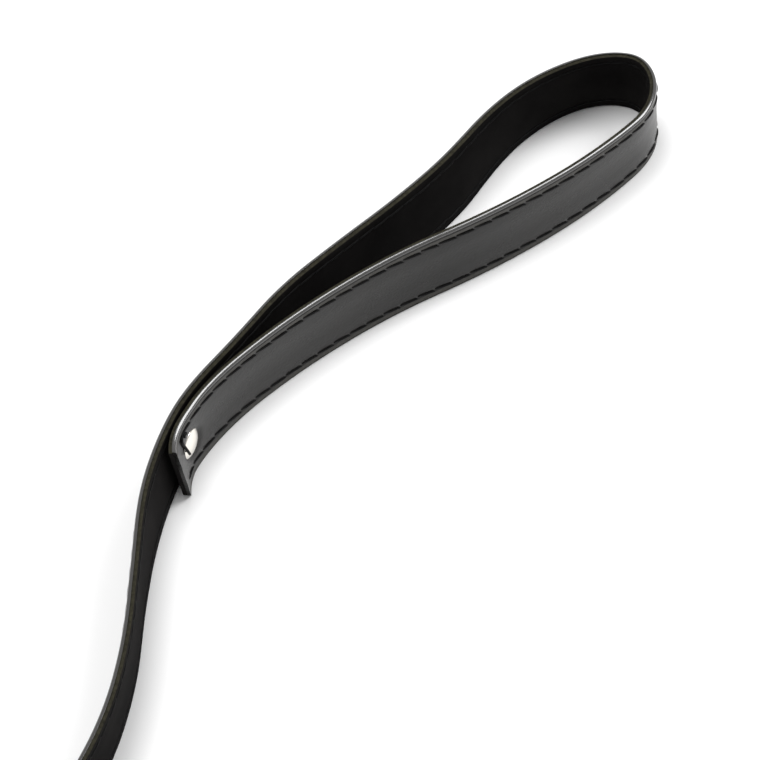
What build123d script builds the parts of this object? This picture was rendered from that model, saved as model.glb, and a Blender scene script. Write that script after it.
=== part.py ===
"""A flat two-ply stitched lead strap with a riveted hand loop and a swivel bolt snap.

The strap stands on its long edge on the floor, z = 0. It starts at the cut tip of the
hand loop, runs out along the near leg, round the bend, back along the far leg and past
the loop rivet as a single tail, which is rolled up into a coil. Its other end folds round
the eye of the snap, in the hollow of the coil. The lining is on the left of that travel.
The origin is on the floor below the loop rivet, in the middle of the far leg's outer ply.
"""
import os
from math import atan2, cos, hypot, pi, radians, sin, tan

from build123d import *

os.makedirs("parts", exist_ok=True)

# Strap: width, one ply, and the lining's set-back from the edges
STRAP_WIDTH = 20.0
PLY = 0.8
LINING_SET_BACK = 0.2

# Stitching: rows in from each edge, thread width and how far it stands off the face
ROW_INSET = 2.4
THREAD_WIDTH = 0.5
THREAD_STAND = 0.2
ROW_START = 5.2

# Double-cap rivets, and the two legs' ply joints they hold this far apart
CAP_DIAMETER = 7.0
CAP_RIM = 0.35
CAP_HEIGHT = 1.1
POST_RADIUS = 1.5
HOLE_RADIUS = 1.6
LEG_GAP = 2.1
RIVET_Z = STRAP_WIDTH / 2

# Loop rivet: direction of the strap there, and the length of each straight run
LOOP_HEADING = 22.0
NEAR_RUN = 10.0
FAR_RUN = 12.0

# Slanted cut at the loop's tip: how much shorter the bottom edge is than the top edge
TIP_SLANT = 3.8
TIP_CHAMFER = 1.6

# Cutting shapes: how far they reach past an edge, through the strap, and along it
OVERCUT = 1.0
THROUGH = 5.0
ROW_CUT = 20.0
TONGUE_CUT = (60.0, 12.0)

# Coil: centre, outer radius, spacing of the turns, where it is entered, and its corners
COIL_CENTRE = (-100.0, -135.0)
COIL_RADIUS = 75.0
COIL_PITCH = 8.0
COIL_ENTRY = 97.0
COIL_STEP = 24.0
COIL_CORNERS = 33

# Snap end: the eye's bar, the fold round it, its rivet and the narrowed tongue
BAR = (-114.0, -134.0)
FOLD_RADIUS = 2.93
FOLD_ANGLE = 66.5
END_RIVET_BACK = 14.0
END_RUN = 9.0
TONGUE_WIDTH = 12.4
TAPER_BACK = 25.0
TAPER_LENGTH = 10.0
FOLD_END = (-23.5, 1.5)

# Snap, lengths along its axis from the eye's bar
EYE_WIRE = 1.5
EYE_HALF_HEIGHT = 8.5
EYE_LENGTH = 9.0
EYE_CORNER = 2.0
EYE_BOSS = (8.0, 11.0)
EYE_BOSS_RADIUS = 2.6
STEM_RADIUS = 1.5
STEM_HEAD_RADIUS = 2.4
STEM_HEAD = (16.0, 17.4)
COLLAR = (11.3, 14.5)
COLLAR_RADIUS = 4.6
STEM_CLEARANCE = 0.06
HEAD_WINDOW = 5.6
PLATE_START = 12.5
SHOULDER = (18.0, 22.5)
SHOULDER_LAP = 1.5
SHOULDER_EASE = 0.6
BODY_HALF_THICKNESS = 2.6
BARREL = (13.5, 34.0)
BARREL_Y = 6.2
BARREL_RADIUS = 3.3
BORE_START = 15.0
BORE_RADIUS = 2.1
BOLT = (26.0, 42.7)
BOLT_RADIUS = 2.05
BOLT_TRAVEL = 7.5
HOOK_Y = -7.5
HOOK_RADIUS = 2.2
HOOK_START = 20.0
NOSE_X = 43.0
STUD_X = 30.5
STUD_RADIUS = 1.0
STUD_BUTTON_RADIUS = 1.9
STUD_BUTTON = (3.8, 5.4)
BOLT_CHAMFER = 0.6
BUTTON_CHAMFER = 0.5
SLOT_CLEARANCE = 0.2
SPRING_RADIUS = 1.6
SPRING_WIRE = 0.22
SPRING_TURNS = 6
SPRING_GAP = 0.3


def run_through(centre, heading, length):
    """The two ends of a straight run of this length, centred on a point."""
    dx, dy = cos(radians(heading)) * length / 2, sin(radians(heading)) * length / 2
    return (centre[0] - dx, centre[1] - dy), (centre[0] + dx, centre[1] + dy)


def left_of(heading, distance):
    """The point this far to the left of the origin, for a direction of travel."""
    return (-sin(radians(heading)) * distance, cos(radians(heading)) * distance)


# The strap's route in plan: the corners of the line between its two plies
NEAR_RIVET = left_of(LOOP_HEADING, -PLY / 2 - LEG_GAP)
FAR_RIVET = left_of(LOOP_HEADING, -PLY / 2)
near_leg = [
    (-7, -8), *run_through(NEAR_RIVET, LOOP_HEADING, NEAR_RUN),
    (19.5, 1.6), (40, 0.5), (61, -3), (82, -9.2), (102.5, -13.2), (118.5, -14.4),
]
bend = [(130, -14), (138.2, -9.5), (141.6, -2.8), (138.2, 3), (130.5, 7.6), (118.5, 10.2)]
far_leg = [
    (106, 10), (89, 6.6), (71.5, 6), (54.5, 6.8), (38, 7.2), (22, 5.2),
    *run_through(FAR_RIVET, LOOP_HEADING + 180, FAR_RUN),
]
tail = [(-18, -10.2), (-30, -20.5), (-43.5, -32.8), (-59, -42.8), (-77, -49.2), (-95, -57)]

coil = []
for corner in range(COIL_CORNERS):
    turned = COIL_STEP * corner
    angle = radians(COIL_ENTRY + turned)
    radius = (COIL_RADIUS - COIL_PITCH * turned / 360) / cos(radians(COIL_STEP / 2))
    coil.append((COIL_CENTRE[0] + radius * cos(angle), COIL_CENTRE[1] + radius * sin(angle)))

bar_x, bar_y = BAR
end_rivet_x = bar_x - END_RIVET_BACK
lead_in = [(-157, -117), (-156.8, -127), (-151.5, -133.6), (-143, -135.6)]
lead_in += run_through((end_rivet_x, bar_y - LEG_GAP / 2), 0, END_RUN)
fold = []
for angle in (-FOLD_ANGLE, 0.0, FOLD_ANGLE):
    fold.append((bar_x + FOLD_RADIUS * cos(radians(angle)), bar_y + FOLD_RADIUS * sin(radians(angle))))
fold += run_through((end_rivet_x, bar_y + LEG_GAP / 2), 180, END_RUN)
fold.append((bar_x + FOLD_END[0], bar_y + FOLD_END[1]))

route = near_leg + bend + far_leg + tail + coil + lead_in + fold


def turns_and_runs(points):
    """The heading of each run, its length, and the turn at each corner between two runs."""
    steps = [(b[0] - a[0], b[1] - a[1]) for a, b in zip(points, points[1:])]
    headings = [atan2(dy, dx) for dx, dy in steps]
    turns = [(b - a + pi) % (2 * pi) - pi for a, b in zip(headings, headings[1:])]
    return headings, [hypot(*step) for step in steps], turns


HEADINGS, RUNS, TURNS = turns_and_runs(route)
RADII = [0.45 * min(a, b) / tan(abs(turn) / 2) for a, b, turn in zip(RUNS, RUNS[1:], TURNS)]


def beside_route(distance):
    """The route's corners and radii moved this far to the left, parallel to the route."""
    first, last = HEADINGS[0], HEADINGS[-1]
    points = [(route[0][0] - sin(first) * distance, route[0][1] + cos(first) * distance)]
    for point, into, turn in zip(route[1:-1], HEADINGS, TURNS):
        half = into + turn / 2
        reach = distance / cos(turn / 2)
        points.append((point[0] - sin(half) * reach, point[1] + cos(half) * reach))
    points.append((route[-1][0] - sin(last) * distance, route[-1][1] + cos(last) * distance))
    radii = [r - distance if turn > 0 else r + distance for r, turn in zip(RADII, TURNS)]
    return points, radii


def ribbon(right, left, bottom, top):
    """A band that stands on edge and follows the route, between two distances from it."""
    right_points, right_radii = beside_route(right)
    left_points, left_radii = beside_route(left)
    with BuildSketch(Plane.XY.offset(bottom)) as section:
        with BuildLine():
            FilletPolyline(*right_points, radius=right_radii)
            FilletPolyline(*left_points, radius=left_radii)
            Line(right_points[0], left_points[0])
            Line(right_points[-1], left_points[-1])
        make_face()
    extrude(section.sketch, amount=top - bottom)


def cut_tip():
    """The slanted cut at the loop's tip, with its small lower chamfer."""
    heading = HEADINGS[0]
    along = Plane(
        origin=(*route[0], 0), x_dir=(cos(heading), sin(heading), 0), z_dir=(sin(heading), -cos(heading), 0)
    )
    with BuildSketch(along) as waste:
        Polygon(
            (-OVERCUT, STRAP_WIDTH + OVERCUT), (0, STRAP_WIDTH + OVERCUT), (0, STRAP_WIDTH),
            (TIP_SLANT, TIP_CHAMFER), (TIP_SLANT + TIP_CHAMFER, 0),
            (TIP_SLANT + TIP_CHAMFER, -OVERCUT), (-OVERCUT, -OVERCUT), align=None,
        )
    extrude(waste.sketch, amount=2 * PLY, both=True, mode=Mode.SUBTRACT)


def narrow_tongue():
    """Cut the strap's end down to the tongue that fits the eye, with a taper before it."""
    start = bar_x - TAPER_BACK - TAPER_LENGTH
    step = (STRAP_WIDTH - TONGUE_WIDTH) / 2
    end = bar_x + 2 * FOLD_RADIUS
    profile = ((start, 0), (start + TAPER_LENGTH, step), (end, step), (end, -OVERCUT), (start, -OVERCUT))
    upper = [(x, STRAP_WIDTH - z) for x, z in profile]
    with BuildSketch(Plane.XZ.offset(-bar_y)) as waste:
        Polygon(*profile, align=None)
        Polygon(*upper, align=None)
    extrude(waste.sketch, amount=THROUGH, both=True, mode=Mode.SUBTRACT)


def punch_rivet_holes():
    """Holes for the loop rivet, through both legs, and for the rivet at the snap."""
    across = Plane(origin=(0, 0, RIVET_Z), z_dir=(*left_of(LOOP_HEADING, 1), 0))
    for plane in (across, Plane(origin=(end_rivet_x, bar_y, RIVET_Z), z_dir=(0, 1, 0))):
        with BuildSketch(plane) as hole:
            Circle(HOLE_RADIUS)
        extrude(hole.sketch, amount=THROUGH, both=True, mode=Mode.SUBTRACT)


def keep_row():
    """Cut a thread back from the tip, and off the tongue at the snap."""
    heading = HEADINGS[0]
    first = Plane(origin=(*route[0], 0), x_dir=(cos(heading), sin(heading), 0))
    with BuildSketch(first) as beyond_tip:
        with Locations((ROW_START, PLY + 1.1 * THREAD_STAND)):
            Rectangle(ROW_CUT, 3 * PLY, align=(Align.MAX, Align.MAX))
    extrude(beyond_tip.sketch, amount=STRAP_WIDTH, mode=Mode.SUBTRACT)
    with BuildSketch() as on_tongue:
        with Locations((bar_x - TAPER_BACK - TAPER_LENGTH - OVERCUT, bar_y)):
            Rectangle(*TONGUE_CUT, align=(Align.MIN, Align.CENTER))
    extrude(on_tongue.sketch, amount=STRAP_WIDTH, mode=Mode.SUBTRACT)


def save(part, label):
    """Name a finished piece and write it to its own file."""
    part.label = label
    export_step(part, f"parts/{label}.step")


# The strap's two plies
with BuildPart() as outer_ply:
    ribbon(-PLY, 0, 0, STRAP_WIDTH)
    cut_tip()
    narrow_tongue()
    punch_rivet_holes()
save(outer_ply.part, "outer_ply")

with BuildPart() as lining_ply:
    ribbon(0, PLY, LINING_SET_BACK, STRAP_WIDTH - LINING_SET_BACK)
    cut_tip()
    narrow_tongue()
    punch_rivet_holes()
save(lining_ply.part, "lining_ply")

# Lockstitch threads: a needle thread on the outer face and a bobbin thread on the lining
ROWS = {"lower": ROW_INSET, "upper": STRAP_WIDTH - ROW_INSET}
FACES = {"needle": (-PLY - THREAD_STAND, -PLY), "bobbin": (PLY, PLY + THREAD_STAND)}
for row, height in ROWS.items():
    for face, (right, left) in FACES.items():
        with BuildPart() as thread:
            ribbon(right, left, height - THREAD_WIDTH / 2, height + THREAD_WIDTH / 2)
            keep_row()
        save(thread.part, f"{row}_{face}_thread")


def domed_cap(plane, post_length):
    """A turned cap that stands along the plane's Y axis, with its post the other way."""
    radius = CAP_DIAMETER / 2
    outline = [(0, CAP_HEIGHT), (0, -post_length), (POST_RADIUS, -post_length), (POST_RADIUS, 0)]
    if post_length == 0:
        outline = [(0, CAP_HEIGHT), (0, 0)]
    with BuildSketch(plane) as section:
        with BuildLine():
            Polyline(*outline, (radius, 0), (radius, CAP_RIM))
            TangentArc((0, CAP_HEIGHT), (radius, CAP_RIM), tangent=(1, 0))
        make_face()
    revolve(section.sketch, axis=Axis(plane.origin, plane.y_dir))


def rivet_planes(base, heading, spread):
    """The planes of the post's cap on the right of a heading, and of the closing cap on its left."""
    x_dir = (cos(radians(heading)), sin(radians(heading)), 0)
    right, left = left_of(heading, -spread / 2), left_of(heading, spread / 2)
    return (
        Plane(origin=(base[0] + right[0], base[1] + right[1], RIVET_Z), x_dir=x_dir, z_dir=(0, 0, -1)),
        Plane(origin=(base[0] + left[0], base[1] + left[1], RIVET_Z), x_dir=x_dir, z_dir=(0, 0, 1)),
    )


STACK = LEG_GAP + 2 * PLY
loop_middle = ((NEAR_RIVET[0] + FAR_RIVET[0]) / 2, (NEAR_RIVET[1] + FAR_RIVET[1]) / 2)
loop_front, loop_back = rivet_planes(loop_middle, LOOP_HEADING, STACK)
end_front, end_back = rivet_planes((end_rivet_x, bar_y), 0, STACK)

with BuildPart() as loop_rivet_post:
    domed_cap(loop_front, STACK)
save(loop_rivet_post.part, "loop_rivet_post")

with BuildPart() as loop_rivet_cap:
    domed_cap(loop_back, 0)
save(loop_rivet_cap.part, "loop_rivet_cap")

with BuildPart() as end_rivet_post:
    domed_cap(end_front, STACK)
save(end_rivet_post.part, "end_rivet_post")

with BuildPart() as end_rivet_cap:
    domed_cap(end_back, 0)
save(end_rivet_cap.part, "end_rivet_cap")

# The upper needle thread's cut end, which lies across the loop rivet's front cap
tail_path = ((-4.9, -6.4, 0.5), (-3.6, -3.2, 1.0), (-1.6, 0.2, 1.7), (-0.2, 2.6, 1.3))
with BuildPart() as cut_thread_end:
    with BuildLine():
        corners = [loop_front.from_local_coords((x, lift, z)) for x, z, lift in tail_path]
        FilletPolyline(*corners, radius=1.2)
    with BuildSketch(Plane(origin=corners[0], z_dir=corners[1] - corners[0])):
        Circle(THREAD_WIDTH / 2)
    sweep()
save(cut_thread_end.part, "cut_thread_end")

# Swivel bolt snap, drawn along X from the middle of the eye's bar. Its hook stands in an
# upright plane with the heavier barrel below, as it hangs from its swivel.
SNAP = Plane(origin=(bar_x, bar_y, RIVET_Z), x_dir=(1, 0, 0), z_dir=(0, 1, 0))


def across_axis(x, y=0.0):
    """A plane square to the snap's axis, x along it and y beside it."""
    return Plane(origin=SNAP.from_local_coords((x, y, 0)), x_dir=(0, 1, 0), z_dir=(1, 0, 0))


def rod(x_range, y, radius, mode=Mode.ADD):
    """A round bar parallel to the snap's axis."""
    with BuildSketch(across_axis(x_range[0], y)) as section:
        Circle(radius)
    extrude(section.sketch, amount=x_range[1] - x_range[0], mode=mode)


with BuildPart() as swivel_eye:
    with BuildLine(SNAP):
        ring = FilletPolyline(
            (0, -EYE_HALF_HEIGHT), (0, EYE_HALF_HEIGHT), (EYE_LENGTH, EYE_HALF_HEIGHT),
            (EYE_LENGTH, -EYE_HALF_HEIGHT), radius=EYE_CORNER, close=True,
        )
    with BuildSketch(Plane(origin=ring @ 0, z_dir=ring % 0)):
        Circle(EYE_WIRE)
    sweep()
    rod(EYE_BOSS, 0, EYE_BOSS_RADIUS)
    rod((EYE_LENGTH, STEM_HEAD[1]), 0, STEM_RADIUS)
    rod(STEM_HEAD, 0, STEM_HEAD_RADIUS)
save(swivel_eye.part, "swivel_eye")

with BuildPart() as snap_body:
    rod(COLLAR, 0, COLLAR_RADIUS)
    with BuildSketch(SNAP):
        Polygon(
            (PLATE_START, -COLLAR_RADIUS), (SHOULDER[0], HOOK_Y - HOOK_RADIUS + SHOULDER_EASE),
            (SHOULDER[1] + SHOULDER_LAP, HOOK_Y - HOOK_RADIUS + SHOULDER_EASE / 2),
            (SHOULDER[1] + SHOULDER_LAP, HOOK_Y + HOOK_RADIUS),
            (SHOULDER[1], HOOK_Y + HOOK_RADIUS + SHOULDER_LAP), (SHOULDER[1], BARREL_Y),
            (BARREL[0], BARREL_Y), (PLATE_START, COLLAR_RADIUS), align=None,
        )
    extrude(amount=BODY_HALF_THICKNESS, both=True)
    rod(BARREL, BARREL_Y, BARREL_RADIUS)
    middle_y = (HOOK_Y + BARREL_Y) / 2
    bow = (BARREL_Y - HOOK_Y) / 2
    with BuildLine(SNAP):
        Line((HOOK_START, HOOK_Y), (NOSE_X, HOOK_Y))
        ThreePointArc((NOSE_X, HOOK_Y), (NOSE_X + bow, middle_y), (NOSE_X, BARREL_Y))
    with BuildSketch(across_axis(HOOK_START, HOOK_Y)):
        Circle(HOOK_RADIUS)
    sweep()
    with BuildSketch(SNAP):
        with Locations(((COLLAR[1] + SHOULDER[0]) / 2, 0)):
            Rectangle(SHOULDER[0] - COLLAR[1], HEAD_WINDOW)
    extrude(amount=COLLAR_RADIUS, both=True, mode=Mode.SUBTRACT)
    rod(COLLAR, 0, STEM_RADIUS + STEM_CLEARANCE, mode=Mode.SUBTRACT)
    rod((BORE_START, BARREL[1]), BARREL_Y, BORE_RADIUS, mode=Mode.SUBTRACT)
    slot_width = 2 * (STUD_RADIUS + SLOT_CLEARANCE)
    with BuildSketch(SNAP):
        with Locations((STUD_X - BOLT_TRAVEL / 2, BARREL_Y)):
            SlotCenterToCenter(BOLT_TRAVEL, slot_width)
    extrude(amount=BARREL_RADIUS + OVERCUT, mode=Mode.SUBTRACT)
save(snap_body.part, "snap_body")

with BuildPart() as snap_bolt:
    rod(BOLT, BARREL_Y, BOLT_RADIUS)
    chamfer(snap_bolt.faces().sort_by(Axis.X)[-1].edges(), length=BOLT_CHAMFER)
    with BuildSketch(SNAP):
        with Locations((STUD_X, BARREL_Y)):
            Circle(STUD_RADIUS)
    extrude(amount=BOLT_RADIUS + OVERCUT, mode=Mode.SUBTRACT)
save(snap_bolt.part, "snap_bolt")

with BuildPart() as thumb_stud:
    with BuildSketch(SNAP):
        with Locations((STUD_X, BARREL_Y)):
            Circle(STUD_RADIUS)
    extrude(amount=STUD_BUTTON[0] + BUTTON_CHAMFER)
    with BuildSketch(SNAP.offset(STUD_BUTTON[0])):
        with Locations((STUD_X, BARREL_Y)):
            Circle(STUD_BUTTON_RADIUS)
    extrude(amount=STUD_BUTTON[1] - STUD_BUTTON[0])
    chamfer(thumb_stud.faces().sort_by(Axis.Y)[-1].edges(), length=BUTTON_CHAMFER)
save(thumb_stud.part, "thumb_stud")

# The spring fills the bore behind the bolt, clear of both ends
with BuildPart() as bolt_spring:
    spring_start = BORE_START + SPRING_GAP
    spring_length = BOLT[0] - SPRING_GAP - spring_start
    with BuildLine():
        coils = Helix(
            pitch=spring_length / SPRING_TURNS, height=spring_length, radius=SPRING_RADIUS,
            center=SNAP.from_local_coords((spring_start, BARREL_Y, 0)), direction=(1, 0, 0),
        )
    with BuildSketch(Plane(origin=coils @ 0, z_dir=coils % 0)):
        Circle(SPRING_WIRE)
    sweep()
save(bolt_spring.part, "bolt_spring")

cut_corners = sum(radius * (2 * tan(abs(turn) / 2) - abs(turn)) for radius, turn in zip(RADII, TURNS))
print("bend radii", [round(radius, 1) for radius in RADII])
print("strap length", round(sum(RUNS) - cut_corners, 1))
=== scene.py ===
"""The looks of a flat two-ply lead strap with a riveted hand loop and a swivel bolt snap.

The strap stands on its long edge on the floor. Its plies, stitches and edges follow one line,
a NURBS curve through the strap's middle, between its two plies. Beside that line, negative is
the glossy outer face and positive is the dull lining. Everything is in metres, except where a
table says that it is in mm.
"""

from math import cos, pi, radians, sin

import bmesh
import bpy
import numpy as np
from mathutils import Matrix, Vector


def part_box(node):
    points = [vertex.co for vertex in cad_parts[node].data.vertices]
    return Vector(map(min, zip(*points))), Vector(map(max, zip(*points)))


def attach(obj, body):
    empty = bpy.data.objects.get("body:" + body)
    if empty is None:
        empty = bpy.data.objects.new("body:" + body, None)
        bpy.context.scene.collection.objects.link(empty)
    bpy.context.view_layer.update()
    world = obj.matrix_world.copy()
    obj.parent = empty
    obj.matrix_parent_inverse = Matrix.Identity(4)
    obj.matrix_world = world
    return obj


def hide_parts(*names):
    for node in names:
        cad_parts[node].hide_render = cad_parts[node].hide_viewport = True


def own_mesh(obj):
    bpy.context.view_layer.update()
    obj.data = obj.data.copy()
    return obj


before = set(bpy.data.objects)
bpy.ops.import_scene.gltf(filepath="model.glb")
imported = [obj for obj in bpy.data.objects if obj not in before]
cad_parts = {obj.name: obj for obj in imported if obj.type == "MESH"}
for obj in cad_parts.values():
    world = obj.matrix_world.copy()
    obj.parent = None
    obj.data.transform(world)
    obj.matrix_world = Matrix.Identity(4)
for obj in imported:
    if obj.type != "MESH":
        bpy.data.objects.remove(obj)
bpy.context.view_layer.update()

MM = 0.001

# The strap, as the part file has it
HALF_WIDTH = 10.0 * MM
MIDDLE = 10.0 * MM
PLY = 0.8 * MM
LINING_SET_BACK = 0.2 * MM

# Rivets: where they go through the middle of the strap, and the straight runs there
LOOP_HEADING = 22.0
NEAR_RIVET = (0.937 * MM, -2.318 * MM)
FAR_RIVET = (0.150 * MM, -0.371 * MM)
NEAR_RUN = 10.0 * MM
FAR_RUN = 12.0 * MM
BAR = (-114.0 * MM, -134.0 * MM)
LEG_GAP = 2.1 * MM
END_RIVET_X = -128.0 * MM
END_NEAR_RIVET = (END_RIVET_X, BAR[1] - LEG_GAP / 2)
END_FAR_RIVET = (END_RIVET_X, BAR[1] + LEG_GAP / 2)
END_RUN = 9.0 * MM

# How the rivets press the plies: how deep, flat under the cap, then rising at its edge
RIVET_PRESS = 0.5 * MM
PRESSED_FLAT = 3.2 * MM
PRESSED_EDGE = 1.6 * MM

# The coil: centre, outer radius, spacing of its turns, where it is entered, and its corners
COIL_CENTRE = (-100.0 * MM, -135.0 * MM)
COIL_RADIUS = 75.0 * MM
COIL_PITCH = 8.0 * MM
COIL_ENTRY = 97.0
COIL_STEP = 24.0
COIL_CORNERS = 33

# The fold round the eye's bar, and the tongue that the strap narrows to there
FOLD_RADIUS = 2.93 * MM
FOLD_ANGLE = 66.5
TONGUE_HALF = 6.2 * MM
TONGUE_REACH = 70.0 * MM
TAPER_BACK = 25.0 * MM
TAPER_LENGTH = 10.0 * MM

# The slanted cut at the loop's tip: how far back the end lies at three heights
TIP_HEIGHTS = (0.0, 1.6 * MM, 20.0 * MM)
TIP_BACKS = (3.9 * MM, 3.0 * MM, 0.0)
TIP_BLEND = 12.0 * MM

# The strap's lean: pairs of a distance from the tip, and how far the top edge stands to the
# left of the bottom edge there, both in mm
LEAN = (
    (0, 2.4), (12, 0.2), (35, -0.5), (60, -0.5), (134, -1), (162, 3.8), (212, -1.6), (285, -0.4),
    (320, -1), (345, 0), (400, 2), (450, 0),
)

# A ply's face: its lines of points, in mm in from each edge, which are closest at the stitches,
# and the least that is left between the last of them and the ply's middle
FACE_LINES = (1.3, 1.8, 2.1, 2.4, 2.7, 3.0, 3.6, 4.6, 5.6, 6.6, 7.6, 8.6, 9.4)
LEAST_LEFT = 0.4 * MM

# A ply's corner: how far in from the edge it reaches, and its rounding at the bottom edge as a
# share of that at the top
CORNER = 1.0 * MM
BOTTOM_ROUNDING = 0.5

# The stitches' rows: pitch, inset from the edge, where each starts from the tip, and how far
# before the strap's other end they stop
PITCH = 4.4 * MM
RINGS_A_STITCH = 6
ROW_INSET = 2.4 * MM
ROW_STARTS = {"upper": 5.6 * MM, "lower": 5.2 * MM}
ROW_STOP = 58.0 * MM

# One stitch: how deep its ends sink, its length in pitches, its rings along that length, how
# thin it is at its ends, and how far it wanders up or down
STITCH_SUNK = 0.35 * MM
STITCH_REACH = 1.09
STITCH_SHARES = (0, 0.05, 0.12, 0.3, 0.5, 0.7, 0.85, 0.93, 1.0)
STITCH_SIDES = 8
STITCH_THINNED = 0.80
STITCH_WANDER = 0.5 * MM

# How much further in the lower row lies at the tip, and where it has come back to its line
DRIFT = 1.1 * MM
DRIFT_LENGTH = 38.0 * MM

# The channel that the stitches pull into a ply, and the low crown between its rows
CHANNEL_HALF = 0.75 * MM
CHANNEL_BETWEEN = 0.45
HOLE_HALF = 0.8 * MM
CROWN_INSET = 3.4 * MM
CROWN_HALF = 3.0 * MM


# ---------------------------------------------------------------- the strap's line

def run_through(centre, heading, length):
    """The two ends of a straight run of this length, centred on a point."""
    dx, dy = cos(radians(heading)) * length / 2, sin(radians(heading)) * length / 2
    return [(centre[0] - dx, centre[1] - dy), (centre[0] + dx, centre[1] + dy)]


def around(centre, radius, angle):
    """The point at this radius and angle from a centre."""
    return (centre[0] + radius * cos(radians(angle)), centre[1] + radius * sin(radians(angle)))


near_leg = [
    (-0.0068, -0.0082), *run_through(NEAR_RIVET, LOOP_HEADING, NEAR_RUN),
    (0.0197, 0.0012), (0.040, 0.0003), (0.061, -0.003), (0.082, -0.0092),
    (0.1025, -0.0132), (0.1185, -0.0144),
]
bend = [
    (0.130, -0.014), (0.138, -0.0095), (0.1413, -0.0027), (0.1381, 0.0033), (0.1304, 0.0081),
    (0.1185, 0.0107),
]
far_leg = [
    (0.106, 0.0103), (0.089, 0.0068), (0.0715, 0.0062), (0.0545, 0.0069), (0.038, 0.0071),
    (0.0224, 0.0043), *run_through(FAR_RIVET, LOOP_HEADING + 180, FAR_RUN),
]
tail = [
    (-0.018, -0.0102), (-0.0301, -0.0204), (-0.0437, -0.0326), (-0.0592, -0.0425),
    (-0.0772, -0.0489), (-0.095, -0.057),
]

coil = []
for corner in range(COIL_CORNERS):
    turned = COIL_STEP * corner
    radius = (COIL_RADIUS - COIL_PITCH * turned / 360) / cos(radians(COIL_STEP / 2))
    coil.append(around(COIL_CENTRE, radius, COIL_ENTRY + turned))

lead_in = [(-0.157, -0.117), (-0.1568, -0.127), (-0.1515, -0.1336), (-0.143, -0.1356)]
lead_in += run_through(END_NEAR_RIVET, 0, END_RUN)
fold = [around(BAR, FOLD_RADIUS, angle) for angle in (-FOLD_ANGLE, 0.0, FOLD_ANGLE)]
fold += run_through(END_FAR_RIVET, 180, END_RUN)
fold.append((-0.1375, -0.1325))


def nurbs_line(points, height):
    """The points of a smooth line with these control points, all at one height."""
    data = bpy.data.curves.new("strap_line", "CURVE")
    data.dimensions = "3D"
    data.resolution_u = 16
    spline = data.splines.new("NURBS")
    spline.points.add(len(points) - 1)
    for point, (x, y) in zip(spline.points, points):
        point.co = (x, y, height, 1.0)
    spline.order_u = 3
    spline.use_endpoint_u = True
    curve = bpy.data.objects.new("strap_line", data)
    mesh = bpy.data.meshes.new_from_object(curve)
    found = np.array([vertex.co for vertex in mesh.vertices])
    bpy.data.meshes.remove(mesh)
    bpy.data.objects.remove(curve)
    bpy.data.curves.remove(data)
    return found


line = nurbs_line(near_leg + bend + far_leg + tail + coil + lead_in + fold, MIDDLE)
steps = np.linalg.norm(np.diff(line, axis=0), axis=1)
along = np.concatenate([[0.0], np.cumsum(steps)])
headings = np.unwrap(np.arctan2(np.diff(line[:, 1]), np.diff(line[:, 0])))
heading_at = (along[:-1] + along[1:]) / 2
LENGTH = float(along[-1])
ROW_END = LENGTH - ROW_STOP


def lean(distance):
    """How far the top edge stands to the left of the bottom edge, eased from spot to spot."""
    spots, leans = np.array(LEAN, float).T * MM
    order = np.arange(len(spots))
    passed, share = np.divmod(np.interp(distance, spots, order), 1.0)
    return np.interp(passed + share * share * (3 - 2 * share), order, leans)


def place(distance, beside, height):
    """Points at these distances along the strap, this far to its left and at these heights."""
    distance, beside, height = np.broadcast_arrays(distance, beside, height)
    heading = np.interp(distance, heading_at, headings)
    beside = beside + lean(distance) * (height - MIDDLE) / (2 * HALF_WIDTH)
    x = np.interp(distance, along, line[:, 0]) - np.sin(heading) * beside
    y = np.interp(distance, along, line[:, 1]) + np.cos(heading) * beside
    return np.stack([x, y, height], axis=-1)


def half_width(distance):
    """Half the strap's width: it narrows to the tongue that is folded round the eye."""
    x = np.interp(distance, along, line[:, 0])
    taper_end = BAR[0] - TAPER_BACK
    narrowed = np.interp(x, (taper_end - TAPER_LENGTH, taper_end), (HALF_WIDTH, TONGUE_HALF))
    return np.where(distance > LENGTH - TONGUE_REACH, narrowed, HALF_WIDTH)


def dip(offset, width):
    """A smooth hollow, 1 in its middle and 0 from its edge outwards."""
    return np.cos(np.clip(np.abs(offset) / width, 0, 1) * pi / 2) ** 2


def drift(distance):
    """How much further in the lower row of stitches lies near the loop's tip."""
    return DRIFT * dip(distance, DRIFT_LENGTH)


def spot_of(point, first, last):
    """The distance along the strap, between two distances, that comes nearest to a point."""
    near = (along >= first) & (along <= last)
    gaps = np.hypot(line[near, 0] - point[0], line[near, 1] - point[1])
    return float(along[near][np.argmin(gaps)])


RIVET_SPOTS = (
    spot_of(NEAR_RIVET, first=0.0, last=0.1),
    spot_of(FAR_RIVET, first=0.2, last=0.4),
    spot_of(END_NEAR_RIVET, first=LENGTH - 0.06, last=LENGTH - 0.02),
    spot_of(END_FAR_RIVET, first=LENGTH - 0.02, last=LENGTH),
)


# ---------------------------------------------------------------- meshes

def new_piece(name, vertices, faces, smooth_angle=35.0):
    """A mesh object that is smooth except along its sharp edges."""
    mesh = bpy.data.meshes.new(name)
    mesh.from_pydata([tuple(v) for v in vertices], [], faces)
    mesh.update()
    for polygon in mesh.polygons:
        polygon.use_smooth = True
    mesh.set_sharp_from_angle(angle=radians(smooth_angle))
    piece = bpy.data.objects.new(name, mesh)
    bpy.context.scene.collection.objects.link(piece)
    return piece


def paint(piece, *materials):
    """Give a piece these materials, the first of them all over."""
    piece.data.materials.clear()
    for material in materials:
        piece.data.materials.append(material)


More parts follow.
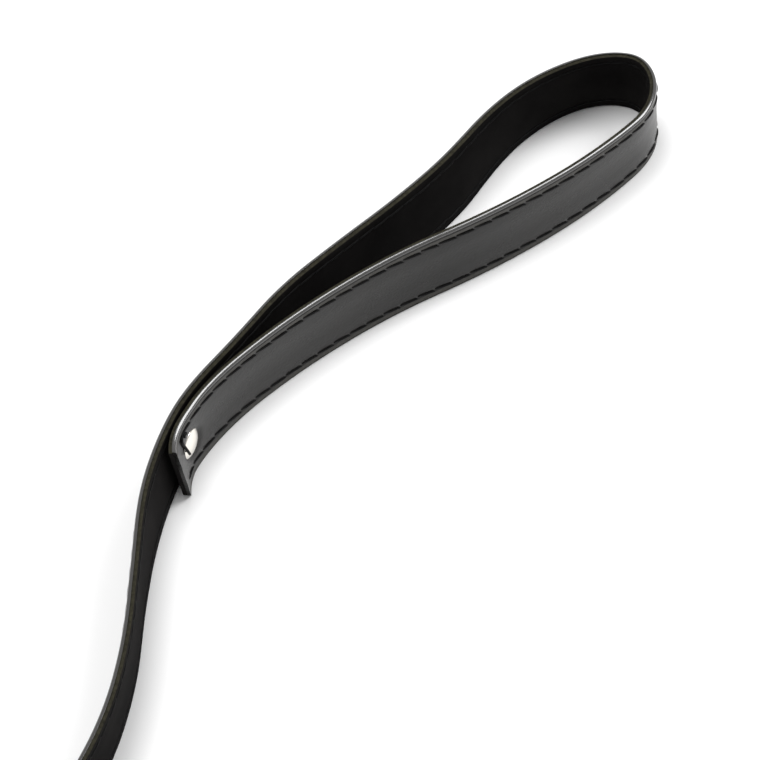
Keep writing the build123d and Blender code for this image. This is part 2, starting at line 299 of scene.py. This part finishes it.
def ring_faces(rings, points):
    """Quads between closed rings of points, with a flat end at each side."""
    faces = []
    for ring in range(rings - 1):
        first, second = ring * points, (ring + 1) * points
        for point in range(points):
            after = (point + 1) % points
            faces.append((first + point, second + point, second + after, first + after))
    faces.append(tuple(range(points)))
    faces.append(tuple(reversed(range((rings - 1) * points, rings * points))))
    return faces


def ply(name, face, joint, set_back, edge, hollow, puff):
    """One ply, and how many lines of points each half of it has.

    face and joint are its two sides' places beside the strap's line, and hollow and puff are
    the depth of its channel and the height of its crown. edge lists its corner from the joint
    to the face: the share of the ply's thickness, and the inset in mm.
    """
    distances = np.arange(0, LENGTH, PITCH / RINGS_A_STITCH)
    distances = np.append(distances[:-1], LENGTH)
    profile = np.array([*edge, *((1.0, inset) for inset in FACE_LINES)])
    count = len(profile)
    shares, insets = profile[:, 0], profile[:, 1] * MM

    # The lines of points keep their insets on the corner and close up where the ply narrows
    half = half_width(distances)[:, None] - set_back
    squeeze = np.clip((half - LEAST_LEFT) / insets[-1], 0, 1)
    inset = np.where(insets < CORNER, insets, insets * squeeze)
    bottom_inset = np.where(insets < CORNER, np.maximum(inset, 0) * BOTTOM_ROUNDING, inset)

    sewn = ((distances > ROW_STARTS["upper"]) & (distances < ROW_END))[:, None]
    in_stitch = (distances - ROW_STARTS["upper"]) % PITCH
    hole = dip(np.minimum(in_stitch, PITCH - in_stitch), HOLE_HALF)[:, None]
    pull = (CHANNEL_BETWEEN + (1 - CHANNEL_BETWEEN) * hole) * hollow * sewn
    crown = dip(insets + set_back - ROW_INSET - CROWN_INSET, CROWN_HALF) * puff
    away = np.min([np.abs(distances - spot) for spot in RIVET_SPOTS], axis=0)[:, None]
    past_flat = np.maximum(0, np.hypot(away, half - inset) - PRESSED_FLAT)
    pressed = dip(past_flat, PRESSED_EDGE) * RIVET_PRESS

    def surface(row_inset):
        """How far each point stands beside the strap's line, with its row of stitches here."""
        channel = dip(insets + set_back - row_inset, CHANNEL_HALF) * pull
        sunk = (channel - crown + pressed) * (shares >= 1)
        return joint + shares * (face - joint) - np.sign(face) * sunk

    top, bottom = surface(ROW_INSET), surface(ROW_INSET + drift(distances)[:, None])
    upper = place(distances[:, None], top, MIDDLE + half - inset)
    lower = place(distances[:, None], bottom, MIDDLE - half + bottom_inset)
    rings = np.concatenate([upper, lower[:, ::-1]], axis=1)

    # The first rings are laid again, drawn back to the slanted cut
    start = distances < TIP_BLEND
    heights = rings[start][:, :, 2]
    back = np.interp(heights, TIP_HEIGHTS, TIP_BACKS)
    moved = back + distances[start][:, None] * (1 - back / TIP_BLEND)
    beside = np.concatenate([top, bottom[:, ::-1]], axis=1)[start]
    rings[start] = place(moved, beside, heights)

    faces = ring_faces(len(distances), 2 * count)
    if face > joint:
        faces = [tuple(reversed(f)) for f in faces]
    return new_piece(name, rings.reshape(-1, 3), faces), count


def stitches(name, side, row, radius, slant, proud):
    """A row of separate stitches: each dips into its holes and lies a little askew."""
    height = MIDDLE + (HALF_WIDTH - ROW_INSET) * (1 if row == "upper" else -1)
    count = int((ROW_END - ROW_STARTS[row]) / PITCH)
    share = np.array(STITCH_SHARES)
    rise = np.sin(share * pi) ** 0.25
    size = radius * (STITCH_THINNED + (1 - STITCH_THINNED) * np.sin(share * pi) ** 0.5)
    turns = np.linspace(0, 2 * pi, STITCH_SIDES, endpoint=False)
    vertices, faces = [], []
    for stitch in range(count):
        # No two stitches in a row are pulled quite alike
        wobble = 0.10 * sin(stitch * 2.4) + 0.07 * sin(stitch * 5.1 + 1)
        distance = ROW_STARTS[row] + (stitch + STITCH_REACH * share) * PITCH
        lift = PLY - STITCH_SUNK + (STITCH_SUNK + proud * (1 + wobble)) * rise
        slope = 0.5 - share - 0.5 * dip(1 - share, 0.2)
        askew = slope * slant * (1 + 2 * wobble) + wobble * STITCH_WANDER
        if row == "lower":
            askew = askew + drift(distance)
        out = lift[:, None] + np.cos(turns) * size[:, None]
        up = height + askew[:, None] + np.sin(turns) * size[:, None]
        ring = place(distance[:, None], side * out, up)
        first = len(vertices)
        vertices += list(ring.reshape(-1, 3))
        new = ring_faces(len(share), len(turns))
        faces += [tuple(first + v for v in (f if side < 0 else reversed(f))) for f in new]
    return new_piece(name, vertices, faces)


def lathe(name, profile, base, axis, segments=64):
    """A turned piece. Its profile is (radius, height) pairs, from one end's middle to the other's."""
    side = axis.orthogonal().normalized()
    other = axis.cross(side)
    vertices = [base + axis * profile[0][1]]
    for radius, height in profile[1:-1]:
        for step in range(segments):
            angle = 2 * pi * step / segments
            out = side * cos(angle) + other * sin(angle)
            vertices.append(base + axis * height + out * radius)
    vertices.append(base + axis * profile[-1][1])
    last = len(vertices) - 1
    faces = []
    for step in range(segments):
        after = (step + 1) % segments
        faces.append((0, 1 + after, 1 + step))
        for ring in range(len(profile) - 3):
            first, second = 1 + ring * segments, 1 + (ring + 1) * segments
            faces.append((first + step, first + after, second + after, second + step))
        first = last - segments
        faces.append((last, first + step, first + after))
    piece = new_piece(name, vertices, faces, smooth_angle=40.0)
    turned_mesh = bmesh.new()
    turned_mesh.from_mesh(piece.data)
    bmesh.ops.recalc_face_normals(turned_mesh, faces=turned_mesh.faces)
    turned_mesh.to_mesh(piece.data)
    turned_mesh.free()
    return piece


# ---------------------------------------------------------------- materials

def shader(name, colour, roughness, metallic=0.0, specular=0.5):
    """A new material, with its nodes, its links and its main shader.

    A texture that is linked later takes the place of the plain colour or roughness.
    """
    material = bpy.data.materials.new(name)
    material.use_nodes = True
    nodes, links = material.node_tree.nodes, material.node_tree.links
    main = nodes["Principled BSDF"]
    main.inputs["Base Color"].default_value = (*colour, 1.0)
    main.inputs["Roughness"].default_value = roughness
    main.inputs["Metallic"].default_value = metallic
    main.inputs["Specular IOR Level"].default_value = specular
    return material, nodes, links, main


def texture(nodes, links, kind, scale, stretch=(1, 1, 1), **settings):
    """A procedural texture in the object's own space."""
    where = nodes.new("ShaderNodeTexCoord")
    turn = nodes.new("ShaderNodeMapping")
    turn.inputs["Scale"].default_value = stretch
    found = nodes.new(kind)
    found.inputs["Scale"].default_value = scale
    for key, value in settings.items():
        if key in found.inputs:
            found.inputs[key].default_value = value
        else:
            setattr(found, key, value)
    links.new(where.outputs["Object"], turn.inputs["Vector"])
    links.new(turn.outputs["Vector"], found.inputs["Vector"])
    return found


def ramp(nodes, links, source, low, high, start=0.3, end=0.7):
    """A value that goes from one number to another as the source goes from start to end."""
    found = nodes.new("ShaderNodeMapRange")
    found.inputs["From Min"].default_value = start
    found.inputs["From Max"].default_value = end
    found.inputs["To Min"].default_value = low
    found.inputs["To Max"].default_value = high
    links.new(source, found.inputs["Value"])
    return found.outputs["Result"]


def mottle(nodes, links, main, source, dark, light):
    """Vary a shader's base colour between two colours, as the source varies."""
    mix = nodes.new("ShaderNodeMix")
    mix.data_type = "RGBA"
    mix.inputs[6].default_value = (*dark, 1.0)
    mix.inputs[7].default_value = (*light, 1.0)
    links.new(ramp(nodes, links, source, 0, 1), mix.inputs[0])
    links.new(mix.outputs[2], main.inputs["Base Color"])


def bump(nodes, links, height, distance, strength, below=None):
    """A bump of this many metres, over the bump below it if there is one."""
    found = nodes.new("ShaderNodeBump")
    found.inputs["Distance"].default_value = distance
    found.inputs["Strength"].default_value = strength
    links.new(height, found.inputs["Height"])
    if below is not None:
        links.new(below, found.inputs["Normal"])
    return found.outputs["Normal"]


def coated_leather():
    """The outer face: black, glossy, with a fine pebble grain and faint waves."""
    plain = (0.0115, 0.0107, 0.01)
    material, nodes, links, main = shader("coated_leather", plain, 0.28, specular=0.18)
    wear = texture(nodes, links, "ShaderNodeTexNoise", 70, Detail=5.0, Roughness=0.6)
    dark, light = (0.0075, 0.007, 0.0066), (0.0152, 0.0141, 0.0131)
    mottle(nodes, links, main, wear.outputs[0], dark, light)
    links.new(ramp(nodes, links, wear.outputs[0], 0.22, 0.34), main.inputs["Roughness"])
    waves = texture(nodes, links, "ShaderNodeTexNoise", 120, Detail=3.0)
    pebbles = texture(nodes, links, "ShaderNodeTexVoronoi", 1700, feature="SMOOTH_F1")
    below = bump(nodes, links, waves.outputs[0], 0.15 * MM, 0.25)
    links.new(bump(nodes, links, pebbles.outputs[0], 0.04 * MM, 0.5, below), main.inputs["Normal"])
    return material


def pressed_margin():
    """The outer face's rim, between its crease and the edge: greyer, with a coarser grain."""
    plain = (0.042, 0.040, 0.034)
    material, nodes, links, main = shader("pressed_margin", plain, 0.5, specular=0.3)
    fleck = texture(nodes, links, "ShaderNodeTexNoise", 1100, Detail=4.0, Roughness=0.65)
    dark, light = (0.022, 0.0208, 0.0175), (0.048, 0.0455, 0.038)
    mottle(nodes, links, main, fleck.outputs[0], dark, light)
    links.new(bump(nodes, links, fleck.outputs[0], 0.05 * MM, 0.4), main.inputs["Normal"])
    return material


def painted_edge():
    """The pressed and sealed edge of the outer ply: the same black under a hard gloss."""
    material, nodes, links, main = shader("painted_edge", (0.02, 0.019, 0.018), 0.22)
    main.inputs["Coat Weight"].default_value = 1.0
    main.inputs["Coat Roughness"].default_value = 0.12
    main.inputs["Coat IOR"].default_value = 1.7
    ripple = texture(nodes, links, "ShaderNodeTexNoise", 900, Detail=2.0)
    links.new(bump(nodes, links, ripple.outputs[0], 0.02 * MM, 0.3), main.inputs["Normal"])
    return material


def lining_leather():
    """The lining: near black and dull, with a short nap."""
    plain = (0.009, 0.0082, 0.0082)
    material, nodes, links, main = shader("lining_leather", plain, 0.85, specular=0.03)
    nap = texture(nodes, links, "ShaderNodeTexNoise", 2600, Detail=4.0, Roughness=0.7)
    cloud = texture(nodes, links, "ShaderNodeTexNoise", 90, Detail=3.0)
    dark, light = (0.0058, 0.0052, 0.0052), (0.0108, 0.0098, 0.0095)
    mottle(nodes, links, main, cloud.outputs[0], dark, light)
    links.new(bump(nodes, links, nap.outputs[0], 0.08 * MM, 0.5), main.inputs["Normal"])
    return material


def raw_edge():
    """The lining's cut edge: brown-black fibres with a faint olive tint."""
    material, nodes, links, main = shader("raw_edge", (0.02, 0.018, 0.012), 0.8, specular=0.1)
    fuzz = texture(nodes, links, "ShaderNodeTexNoise", 1500, Detail=4.0, Roughness=0.7)
    dark, light = (0.009, 0.0084, 0.0055), (0.034, 0.0315, 0.020)
    mottle(nodes, links, main, fuzz.outputs[0], dark, light)
    links.new(bump(nodes, links, fuzz.outputs[0], 0.12 * MM, 0.7), main.inputs["Normal"])
    return material


def waxed_thread():
    """Black waxed thread, with the twist of its strands."""
    material, nodes, links, main = shader("waxed_thread", (0.004, 0.004, 0.004), 0.5, specular=0.08)
    twist = texture(nodes, links, "ShaderNodeTexWave", 1400, (1, 1, 1.6), Distortion=1.5)
    links.new(bump(nodes, links, twist.outputs[1], 0.05 * MM, 0.7), main.inputs["Normal"])
    return material


def polished_nickel():
    """Bright nickel plate, with faint scuffs from handling."""
    material, nodes, links, main = shader("polished_nickel", (0.80, 0.77, 0.71), 0.12, metallic=1.0)
    scuffs = texture(nodes, links, "ShaderNodeTexNoise", 420, (1, 1, 6), Detail=6.0, Roughness=0.7)
    links.new(ramp(nodes, links, scuffs.outputs[0], 0.08, 0.26), main.inputs["Roughness"])
    links.new(bump(nodes, links, scuffs.outputs[0], 0.01 * MM, 0.25), main.inputs["Normal"])
    return material


def cast_nickel():
    """Nickel plate on a die casting: bright, and a little uneven in its colour and gloss."""
    material, nodes, links, main = shader("cast_nickel", (0.72, 0.70, 0.66), 0.2, metallic=1.0)
    cloud = texture(nodes, links, "ShaderNodeTexNoise", 160, Detail=5.0, Roughness=0.6)
    dark, light = (0.62, 0.60, 0.56), (0.78, 0.76, 0.72)
    mottle(nodes, links, main, cloud.outputs[0], dark, light)
    links.new(ramp(nodes, links, cloud.outputs[0], 0.14, 0.32), main.inputs["Roughness"])
    peel = texture(nodes, links, "ShaderNodeTexNoise", 700, Detail=2.0)
    links.new(bump(nodes, links, peel.outputs[0], 0.03 * MM, 0.4), main.inputs["Normal"])
    return material


def turned_steel():
    """Plated steel with fine rings from turning, square to the snap's axis."""
    material, nodes, links, main = shader("turned_steel", (0.60, 0.60, 0.58), 0.28, metallic=1.0)
    rings = texture(nodes, links, "ShaderNodeTexNoise", 900, (6, 0.3, 0.3), Detail=4.0, Roughness=0.7)
    links.new(ramp(nodes, links, rings.outputs[0], 0.18, 0.4), main.inputs["Roughness"])
    links.new(bump(nodes, links, rings.outputs[0], 0.02 * MM, 0.5), main.inputs["Normal"])
    return material


leather = coated_leather()
margin = pressed_margin()
sealed = painted_edge()
lining = lining_leather()
fibres = raw_edge()
thread = waxed_thread()
nickel = polished_nickel()
casting = cast_nickel()
steel = turned_steel()


# ---------------------------------------------------------------- the strap

def edge_faces(piece, count, first, last, index):
    """Give the faces along both edges of a ply, between two of its lines, this material.

    Line 0 is at the joint, so a strip from there also takes in the side that faces the other ply.
    """
    points = 2 * count
    strips = set(range(first, last)) | set(range(points - 1 - last, points - 1 - first))
    if first == 0:
        strips.add(points - 1)
    quads = len(piece.data.polygons) - 2
    for polygon in piece.data.polygons:
        if polygon.index < quads and polygon.index % points in strips:
            polygon.material_index = index


# The plies' corners as ply() takes them, and the strips that are sealed, pressed or raw fibres.
# The outer ply's edge stands a little proud, and a crease runs beside it.
OUTER_EDGE = (
    (0.0, -0.14), (0.08, -0.16), (0.24, -0.13), (0.78, 0.07), (0.91, 0.20), (0.975, 0.36),
    (1.0, 0.50), (0.90, 0.69), (0.999, 0.89),
)
LINING_EDGE = ((0.0, 0.0), (0.70, 0.0), (0.92, 0.06), (1.0, 0.2), (1.0, 0.6))
SEALED_STRIP = (0, 5)
MARGIN_STRIP = (8, 10)
FIBRE_STRIP = (0, 2)

outer, outer_count = ply(
    "outer_ply_mesh", face=-PLY, joint=0.0, set_back=0.0, edge=OUTER_EDGE,
    hollow=0.16 * MM, puff=0.05 * MM,
)
paint(outer, leather, sealed, margin)
edge_faces(outer, outer_count, *SEALED_STRIP, index=1)
edge_faces(outer, outer_count, *MARGIN_STRIP, index=2)

inner, inner_count = ply(
    "lining_ply_mesh", face=PLY, joint=0.0, set_back=LINING_SET_BACK, edge=LINING_EDGE,
    hollow=0.14 * MM, puff=0.03 * MM,
)
paint(inner, lining, fibres)
edge_faces(inner, inner_count, *FIBRE_STRIP, index=1)

# The needle thread lies proud of the outer face, and the bobbin thread is pulled into the lining
SEAMS = (
    ("needle", -1, {"radius": 0.25 * MM, "slant": 0.62 * MM, "proud": 0.05 * MM}),
    ("bobbin", 1, {"radius": 0.22 * MM, "slant": 0.20 * MM, "proud": 0.0}),
)
threads = []
for row in ROW_STARTS:
    for face, side, shape in SEAMS:
        seam = stitches(f"{row}_{face}_stitches", side, row, **shape)
        paint(seam, thread)
        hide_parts(f"{row}_{face}_thread")
        threads.append(seam)

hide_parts("outer_ply")
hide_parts("lining_ply")


# ---------------------------------------------------------------- rivets and thread end

# A domed cap and its post: radii and heights in mm, from the dome's top to the post's end
CAP = [
    (0.0, 1.10), (0.6, 1.09), (1.2, 1.04), (1.8, 0.94), (2.3, 0.81), (2.7, 0.66), (3.0, 0.51),
    (3.2, 0.39), (3.36, 0.30), (3.47, 0.20), (3.5, 0.10), (3.47, 0.0), (3.36, -0.04),
]
POST = [(1.5, -0.04), (1.5, -3.0), (1.3, -3.1), (0.0, -3.1)]
CAP_BACK = [(0.0, -0.04)]


def scaled(profile):
    """A profile in metres, from one in mm."""
    return [(radius * MM, height * MM) for radius, height in profile]


caps = []
for near, far, heading, name in (
    (NEAR_RIVET, FAR_RIVET, LOOP_HEADING, "loop"),
    (END_NEAR_RIVET, END_FAR_RIVET, 0.0, "end"),
):
    outward = Vector((sin(radians(heading)), -cos(radians(heading)), 0))
    reach = outward * (PLY - RIVET_PRESS)
    tilted = outward.copy()
    if name == "loop":
        tilted.z = lean(RIVET_SPOTS[0]) / (2 * HALF_WIDTH)
    tilted.normalize()
    front_base, back_base = Vector((*near, MIDDLE)) + reach, Vector((*far, MIDDLE)) - reach
    front = lathe(f"{name}_rivet_post_mesh", scaled(CAP + POST), front_base, tilted)
    back = lathe(f"{name}_rivet_cap_mesh", scaled(CAP + CAP_BACK), back_base, -outward)
    for cap, node in ((front, f"{name}_rivet_post"), (back, f"{name}_rivet_cap")):
        paint(cap, nickel)
        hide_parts(node)
        caps.append(cap)


# The loose end's knot and tail: how far ahead of the loop rivet, above it and out from the
# face each point is, in mm
LOOSE_THREAD_RADIUS = 0.3 * MM
KNOT = [
    (-3.0 + 0.5 * cos(turn), 7.1 + 0.45 * sin(turn), 0.25 + 0.15 * sin(2 * turn + 1))
    for turn in np.linspace(0, 2 * pi, 8)
]
THREAD_TAIL = [
    (-3.6, 7.4, 0.0), (-4.6, 7.5, 0.2), (-4.7, 6.6, 0.2), (-4.2, 5.0, 0.2), (-3.5, 2.9, 0.4),
    (-2.8, 0.6, 0.6),
]


def loose_end():
    """The cut end of the upper needle thread: a small knot, and a tail across the front cap."""
    data = bpy.data.curves.new("cut_thread_end_mesh", "CURVE")
    data.dimensions = "3D"
    data.resolution_u = 8
    data.bevel_depth = LOOSE_THREAD_RADIUS
    data.bevel_resolution = 3
    data.use_fill_caps = True
    for shape in (KNOT, THREAD_TAIL):
        spline = data.splines.new("NURBS")
        spline.points.add(len(shape) - 1)
        for point, (ahead, up, out) in zip(spline.points, shape):
            where = place(RIVET_SPOTS[0] + ahead * MM, -PLY - out * MM, MIDDLE + up * MM)
            point.co = (*where, 1.0)
        spline.order_u = 3
        spline.use_endpoint_u = True
    piece = bpy.data.objects.new("cut_thread_end_mesh", data)
    bpy.context.scene.collection.objects.link(piece)
    return piece


end = loose_end()
end.data.materials.append(thread)
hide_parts("cut_thread_end")


# ---------------------------------------------------------------- the snap

# The bolt's spring: the radius of its wire, its turns, those that are closed up at each end,
# and the steps of its mesh along a turn and around the wire
SPRING_WIRE = 0.22 * MM
SPRING_TURNS = 6
CLOSED_TURNS = 1
TURN_STEPS = 32
WIRE_SIDES = 10

for node, material in (
    ("swivel_eye", casting), ("snap_body", casting), ("snap_bolt", steel), ("thumb_stud", steel),
):
    paint(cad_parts[node], material)


def coil_spring(name, node):
    """A compression spring that fills its node's box along X, its end turns closed up."""
    low, high = (Vector(corner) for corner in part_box(node))
    middle = (low + high) / 2
    radius = (high.y - low.y) / 2 - SPRING_WIRE
    travel = high.x - low.x - 2 * SPRING_WIRE
    closed = CLOSED_TURNS * 2 * SPRING_WIRE
    pitch = (travel - 2 * closed) / (SPRING_TURNS - 2 * CLOSED_TURNS)
    lead = np.arctan2(pitch, 2 * pi * radius)
    turn = np.linspace(0, SPRING_TURNS, TURN_STEPS * SPRING_TURNS + 1)
    open_turns = (0, CLOSED_TURNS, SPRING_TURNS - CLOSED_TURNS, SPRING_TURNS)
    ahead = np.interp(turn, open_turns, (0, closed, travel - closed, travel))
    vertices = []
    for angle, x in zip(turn * 2 * pi, ahead):
        out = Vector((0, cos(angle), sin(angle)))
        across = Vector((cos(lead), sin(lead) * sin(angle), -sin(lead) * cos(angle)))
        centre = Vector((low.x + SPRING_WIRE + x, middle.y, middle.z)) + out * radius
        for step in range(WIRE_SIDES):
            side = 2 * pi * step / WIRE_SIDES
            vertices.append(centre + (out * cos(side) + across * sin(side)) * SPRING_WIRE)
    return new_piece(name, vertices, ring_faces(len(turn), WIRE_SIDES), smooth_angle=60.0)


spring = coil_spring("bolt_spring_mesh", "bolt_spring")
paint(spring, steel)
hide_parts("bolt_spring")


# ---------------------------------------------------------------- what moves with what

for piece in (outer, inner, *threads, *caps, end):
    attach(piece, "strap")
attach(spring, "snap")
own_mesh(spring)

PATH_SAMPLES = 1200
samples = place(np.linspace(0, LENGTH, PATH_SAMPLES), 0.0, MIDDLE)


# ---------------------------------------------------------------- stage, light and camera

LIGHTS_AIM = Vector((0.04, -0.02, 0.01))
LIGHT_DISTANCE = 1.2
FLOOR_RADIUS = 3.0


def softbox(name, direction, size, power):
    """An area light that looks at the object from this azimuth and elevation in degrees."""
    azimuth, elevation = (radians(a) for a in direction)
    towards = Vector((cos(azimuth) * cos(elevation), sin(azimuth) * cos(elevation), sin(elevation)))
    data = bpy.data.lights.new(name, "AREA")
    data.shape = "RECTANGLE"
    data.size, data.size_y = size
    data.energy = power
    light = bpy.data.objects.new(name, data)
    light.location = LIGHTS_AIM + towards * LIGHT_DISTANCE
    light.rotation_euler = towards.to_track_quat("Z", "Y").to_euler()
    bpy.context.scene.collection.objects.link(light)


bpy.ops.mesh.primitive_circle_add(vertices=96, radius=FLOOR_RADIUS, fill_type="NGON")
floor = bpy.context.object
floor.name = "floor"
floor_paint = shader("floor_paint", (0.88, 0.88, 0.88), 0.9, specular=0.1)[0]
floor.data.materials.append(floor_paint)

softbox("key", direction=(140, 75), size=(0.55, 0.55), power=10.5)
softbox("side_strip", direction=(-20, 50), size=(0.4, 0.8), power=8)

world = bpy.data.worlds.new("studio")
world.use_nodes = True
background = world.node_tree.nodes["Background"]
background.inputs["Color"].default_value = (1.0, 1.0, 1.0, 1.0)
background.inputs["Strength"].default_value = 0.57
bpy.context.scene.world = world
bpy.context.scene.view_settings.view_transform = "Standard"

# The camera: what it looks at, its heading and how far down it looks, and its lens in mm
TARGET = Vector((0.0399, -0.0190, 0.010))
LOOK_HEADING = radians(44.0)
LOOK_DOWN = radians(52.0)
CAMERA_DISTANCE = 0.640
LENS = 146.4
SENSOR_WIDTH = 36.0

level = cos(LOOK_DOWN)
look = Vector((cos(LOOK_HEADING) * level, sin(LOOK_HEADING) * level, -sin(LOOK_DOWN)))
camera_data = bpy.data.cameras.new("camera")
camera_data.sensor_width = SENSOR_WIDTH
camera_data.lens = LENS
camera_data.clip_start = 0.01
camera = bpy.data.objects.new("camera", camera_data)
camera.location = TARGET - look * CAMERA_DISTANCE
camera.rotation_euler = look.to_track_quat("-Z", "Y").to_euler()
bpy.context.scene.collection.objects.link(camera)
bpy.context.scene.camera = camera
